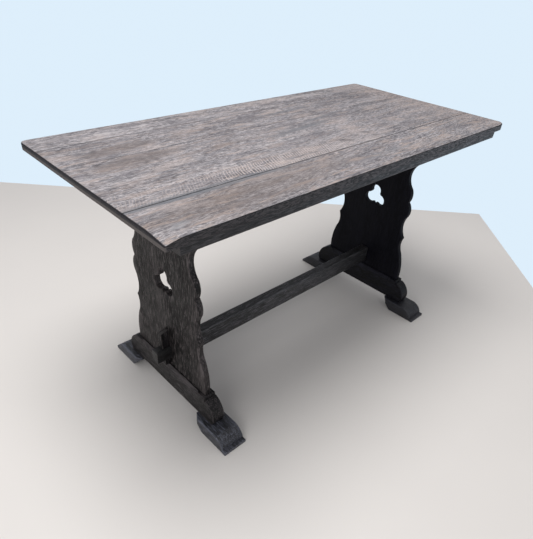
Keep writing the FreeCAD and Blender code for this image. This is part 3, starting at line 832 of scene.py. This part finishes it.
def ray_flecks(tree, at, bent, x, y, shift, joint, flecked):
    """How much of a pale ray fleck shows: bands across the grain, in patches.

    The patches are few on the open board and crowd along its joint, left of the middle."""
    bands = add(tree, "Mapping", {"Vector": bent, "Rotation": (0, 0, RAY_ANGLE),
                                  "Scale": RAY_SIZE}, vector_type="TEXTURE")
    bands = add(tree, "TexWave", {"Vector": bands.outputs[0], "Scale": 1.0, "Distortion": 6.0,
                                  "Detail": 2.0, "Detail Scale": 0.6, "Detail Roughness": 0.6},
                wave_type="BANDS", bands_direction="X", wave_profile="SIN").outputs["Fac"]
    patch = figure(tree, at, (0.06, 0.022, 0.022), shift=(shift[2], shift[0], 0.4), detail=3.0)
    by_joint = sums(tree, "MULTIPLY", between(tree, y, joint + 0.095, joint + 0.03),
                    between(tree, x, 0.16, 0.02, 0.0, flecked))
    by_joint = sums(tree, "MULTIPLY", by_joint, between(tree, x, -0.46, -0.30, 0.3))
    shown = sums(tree, "ADD", between(tree, patch, 0.56, 0.66, 0.0, 0.25),
                 sums(tree, "MULTIPLY", by_joint, between(tree, patch, 0.36, 0.52)))
    return sums(tree, "MULTIPLY", between(tree, bands, 0.74, 0.97), shown, clamp=True)


def dark_edges(tree, x, z, fibres, up):
    """The dark finish on steep faces: lighter to the right, and lighter low on the two ends."""
    sides = blend(tree, between(tree, x, -0.60, 0.70), *SIDE_TONES)
    sides = blend(tree, between(tree, fibres, 0.45, 0.56, 0.95, 0.0), sides, EDGE_FIBRE)
    ends = blend(tree, between(tree, z, 0.748, 0.744, 0.0, 0.8), *END_TONES)
    at_end = between(tree, sums(tree, "ABSOLUTE", x), 0.6640, 0.6685)
    edge = blend(tree, at_end, sides, ends)
    return blend(tree, between(tree, up, 0.45, 0.10), NOSE_TONE, edge)


def weathered_oak(name, shift, joint, turn=0.0, flecked=0.0, pink=0.5, darker=0.0,
                  stains=()):
    """Dry grey oak: growth lines, streaks, pores, pale ray flecks across the grain, and stains.

    joint is the y of the board's darkened long edge. Steep faces keep the dark finish. A stain
    is a centre, half sizes, turn, strength and colour."""
    material, tree, shader, at = bare_finish("weathered_oak_" + name)
    bent = wandering(tree, at, 0, shift, 0.05, 3.0)
    growth = [figure(tree, bent, along_grain(0, along, over), (0, 0, turn), shift, detail, rough)
              for along, over, detail, rough in ((0.30, 0.040, 3.0, 0.5),
                                                 (0.085, 0.0065, 5.0, 0.68),
                                                 (0.016, 0.0027, 4.0, 0.72))]
    _, streaks, fibres = growth
    pores = between(tree, figure(tree, bent, (0.014, 0.0010, 0.0010), shift=shift, detail=1.0),
                    0.56, 0.66)
    x, y, z = add(tree, "SeparateXYZ", {0: at}).outputs

    colour = grey_face(tree, at, bent, growth, shift, pink, darker)
    rough = figure(tree, at, (0.020, 0.006, 0.006), shift=shift, detail=5.0, roughness=0.7)
    by_end = sums(tree, "MULTIPLY", between(tree, x, 0.46, 0.66),
                  between(tree, rough, 0.42, 0.60, 0.0, 0.75))
    colour = blend(tree, by_end, colour, RUBBED_END)
    rays = ray_flecks(tree, at, bent, x, y, shift, joint, flecked)
    colour = blend(tree, rays, colour, RAY_FLECK)
    colour = blend(tree, sums(tree, "MULTIPLY", pores, 0.5), colour, OPEN_PORE)

    ragged = sums(tree, "MULTIPLY", sums(tree, "SUBTRACT", streaks, 0.5), 1.2)
    for centre, half, angle, strength, tint in stains:
        spot = sums(tree, "ADD", soft_spot(tree, at, centre, half, angle), ragged)
        spot = sums(tree, "MULTIPLY", between(tree, spot, 0.05, 0.55), strength)
        colour = blend(tree, spot, colour, tint)

    away = sums(tree, "ABSOLUTE", sums(tree, "SUBTRACT", y, joint))
    line_share = figure(tree, at, (0.12, 0.03, 0.03), shift=shift, detail=2.0)
    seam = sums(tree, "MULTIPLY", between(tree, away, 0.005, 0.0010),
                between(tree, line_share, 0.40, 0.62, 0.25, 0.8))
    seam = sums(tree, "MULTIPLY", seam, between(tree, x, 0.10, 0.50, 1.0, 0.3))
    colour = blend(tree, seam, colour, JOINT_DIRT)

    up = add(tree, "SeparateXYZ", {0: add(tree, "NewGeometry").outputs["Normal"]}).outputs[2]
    edge = dark_edges(tree, x, z, fibres, up)
    colour = blend(tree, between(tree, up, 0.955, 0.82), colour, edge)

    roughness = between(tree, sums(tree, "ADD", streaks, fibres), 0.7, 1.3, 0.52, 0.70)
    relief = sums(tree, "SUBTRACT", weighted(tree, (streaks, 0.5), (fibres, 0.6)),
                  sums(tree, "MULTIPLY", pores, 0.8))
    dress(tree, shader, colour, roughness, relief, 0.5, 0.0008)
    shader.inputs["Specular IOR Level"].default_value = 0.32
    return material


GREY_WATER = (0.115, 0.125, 0.142, 1)
BROWN_WATER = (0.120, 0.094, 0.084, 1)
INK = (0.050, 0.047, 0.055, 1)
DRY_BLOOM = (0.30, 0.31, 0.33, 1)
FRONT_STAINS = (
    ((-0.36, -0.245), (0.42, 0.090), 0.05, 0.45, BROWN_WATER),
    ((-0.46, -0.183), (0.34, 0.012), 0.0, 0.75, GREY_WATER),
    ((-0.609, -0.281), (0.036, 0.014), 0.2, 0.4, DRY_BLOOM),
    ((-0.38, -0.235), (0.16, 0.014), 0.05, 0.4, BROWN_WATER),
    ((0.05, -0.262), (0.20, 0.014), -0.03, 0.35, GREY_WATER))
MIDDLE_STAINS = (
    ((-0.46, -0.174), (0.30, 0.008), 0.0, 0.6, GREY_WATER),
    ((-0.500, 0.050), (0.17, 0.050), 0.1, 0.45, BROWN_WATER),
    ((0.04, 0.015), (0.20, 0.014), 0.12, 0.55, GREY_WATER),
    ((0.16, 0.062), (0.16, 0.010), 0.16, 0.45, GREY_WATER),
    ((0.050, -0.133), (0.040, 0.014), -0.55, 0.45, INK),
    ((0.162, -0.118), (0.024, 0.010), -0.55, 0.45, INK),
    ((-0.30, 0.02), (0.20, 0.012), 0.02, 0.40, BROWN_WATER))
BACK_STAINS = (
    ((-0.500, 0.140), (0.16, 0.036), 0.1, 0.45, BROWN_WATER),
    ((-0.56, 0.228), (0.060, 0.010), 0.0, 0.7, INK),
    ((0.10, 0.170), (0.22, 0.012), 0.03, 0.40, GREY_WATER))
for node_name, outer, shift, settings in (
        ("top_board_front", -1, (0.8, 0.3, 0.5), {"turn": 0.06, "pink": 0.80, "darker": 0.004,
                                                  "stains": FRONT_STAINS}),
        ("top_board_middle", 0, (2.7, 1.6, 0.9), {"flecked": 1.3, "turn": -0.010,
                                                  "stains": MIDDLE_STAINS}),
        ("top_board_back", 0, (4.2, 0.9, 2.2), {"turn": 0.008, "darker": 0.012,
                                                 "stains": BACK_STAINS}),
        ("top_board_back_edge", 1, (5.9, 2.4, 1.3), {"turn": -0.006, "pink": 0.3})):
    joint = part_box(node_name)[1 if outer < 0 else 0].y
    oak = weathered_oak(node_name, shift, joint, **settings)
    wooden_piece([board_skin(node_name, outer)], oak, "weathered_oak", "table", node_name)

# ---- Edge strips ------------------------------------------------------------------------------
# A strip glued and screwed under each long edge makes the thin boards look twice as thick. It
# stops short of the ends, where its end grain is sawn square at one end and slanted at the other.
STRIP_ARRIS = (0.0015, 0.0015)
JOINT_ARRIS_UNDER = (0.0005, 0.0005)    # against the boards
STRIP_END_LEAN = 0.003
STRIP_LEAN_FALL = 12        # power by which the lean dies away from the right end
# STRIP_FADE darkens the strips towards their left end; there the near-black end grain also stands in
# for painted shade under the top's overhang.
STRIP_FADE = (0.70, -0.60, 0.66)


def strip_skin(node):
    """A strip as rings along x; its right end leans by a few millimetres."""
    low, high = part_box(node)
    lower_x, drawn = eased_run(low.x, high.x - STRIP_END_LEAN, 0.001, 100)
    share = (lower_x - low.x) / (high.x - STRIP_END_LEAN - low.x)
    upper_x = lower_x + STRIP_END_LEAN * share ** STRIP_LEAN_FALL
    lower = line_of(lower_x, 0, low.z)
    upper = line_of(upper_x, 0, high.z)
    return bar_surface(lower, upper, (0, 1, 0), low.y, high.y, STRIP_ARRIS, JOINT_ARRIS_UNDER,
                       flats=5, sides=3, drawn=drawn)


for side, shift in (("front", (0.8, 0.3, 0.5)), ("back", (1.7, 0.2, 0.6))):
    oak = fumed_oak("strip_" + side, 0, shift, face=(0.100, 0.090, 0.097, 1),
                    deep=(0.012, 0.010, 0.012, 1), worn=(0.17, 0.155, 0.16, 1),
                    fades=(STRIP_FADE,))
    wooden_piece([strip_skin("edge_strip_" + side)], oak, "fumed_oak", "table",
                 "edge_strip_" + side)

# ---- The room ----------------------------------------------------------------------------------
# A plain pale floor whose corner lies behind the table, a pale bluish surround beyond it, soft
# light from above and from the left, and a camera at chest height off the front left corner.
SURROUND = (0.73, 0.86, 0.97, 1)
WALLS = (0.35, 0.365, 0.40, 1)
CEILING = (0.56, 0.56, 0.57, 1)
LAMP_COLOUR = (1.0, 0.98, 0.97)
LAMPS_AIM = Vector((0, 0, 0.4))
FLOOR_TONES = ((0.68, 0.655, 0.63, 1), (0.72, 0.695, 0.665, 1))


def pale_floor():
    """Warm off-white with slow, slight clouds."""
    material, tree, shader, at = bare_finish("pale_floor")
    cloud = figure(tree, at, (0.5, 0.5, 0.5), detail=3.0)
    colour = blend(tree, cloud, *FLOOR_TONES)
    tree.links.new(colour, shader.inputs["Base Color"])
    shader.inputs["Roughness"].default_value = 0.55
    shader.inputs["Specular IOR Level"].default_value = 0.3
    return material


FLOOR_CORNER = np.array((1.663, 0.018))
FLOOR_LENGTH = 12.0
FLOOR_SIDES = np.array(((-0.707, 0.707), (-0.707, -0.707))) * FLOOR_LENGTH
corners = FLOOR_CORNER + np.array(((0, 0), (1, 0), (1, 1), (0, 1))) @ FLOOR_SIDES
floor_mesh = bpy.data.meshes.new("floor")
floor_mesh.from_pydata([(x, y, 0.0) for x, y in corners.tolist()], [], [(0, 1, 2, 3)])
floor_mesh.materials.append(pale_floor())
floor = bpy.data.objects.new("floor", floor_mesh)
bpy.context.scene.collection.objects.link(floor)

world = bpy.data.worlds.new("surround")
world.use_nodes = True
sky = world.node_tree
height = add(sky, "SeparateXYZ", {0: add(sky, "TexCoord").outputs["Generated"]}).outputs[2]
light_in = blend(sky, between(sky, height, -0.02, 0.06), SURROUND, WALLS)
light_in = blend(sky, between(sky, height, 0.2, 0.8), light_in, CEILING)
seen = add(sky, "LightPath").outputs["Is Camera Ray"]
backdrop = blend(sky, seen, light_in, SURROUND)
sky.links.new(backdrop, sky.nodes["Background"].inputs[0])
bpy.context.scene.world = world

for name, place, size, power in (("overhead", (-0.45, 0.08, 2.9), 1.6, 57),
                                 ("window", (-2.8, -1.5, 1.7), 1.8, 25)):
    lamp = bpy.data.lights.new(name, "AREA")
    lamp.shape = "DISK"
    lamp.size = size
    lamp.energy = power
    lamp.color = LAMP_COLOUR
    holder = bpy.data.objects.new(name, lamp)
    holder.location = place
    holder.rotation_mode = "QUATERNION"
    holder.rotation_quaternion = (LAMPS_AIM - Vector(place)).to_track_quat("-Z", "Y")
    bpy.context.scene.collection.objects.link(holder)

CAMERA_PLACE = Vector((-1.04545, -0.95192, 1.166933))
CAMERA_AZIMUTH = math.radians(-46.106)
CAMERA_DOWN = math.radians(37.002)
CAMERA_ROLL = math.radians(4.281)
SENSOR_WIDTH = 36.0         # this and the lens are in millimetres
LENS_LENGTH = 31.566
LENS_SHIFT = (-0.0106, 0.0717)
forward = Vector((math.cos(CAMERA_DOWN) * math.sin(-CAMERA_AZIMUTH),
                  math.cos(CAMERA_DOWN) * math.cos(CAMERA_AZIMUTH), -math.sin(CAMERA_DOWN)))
level = forward.cross(Vector((0, 0, 1))).normalized()
above = level.cross(forward)
right = level * math.cos(CAMERA_ROLL) + above * math.sin(CAMERA_ROLL)
up = above * math.cos(CAMERA_ROLL) - level * math.sin(CAMERA_ROLL)
lens = bpy.data.cameras.new("camera")
lens.sensor_width = SENSOR_WIDTH
lens.lens = LENS_LENGTH
lens.shift_x, lens.shift_y = LENS_SHIFT
camera = bpy.data.objects.new("camera", lens)
camera.matrix_world = Matrix.Translation(CAMERA_PLACE) @ Matrix((
    (right.x, up.x, -forward.x), (right.y, up.y, -forward.y),
    (right.z, up.z, -forward.z))).to_4x4()
bpy.context.scene.collection.objects.link(camera)
bpy.context.scene.camera = camera
bpy.context.scene.view_settings.view_transform = "Standard"
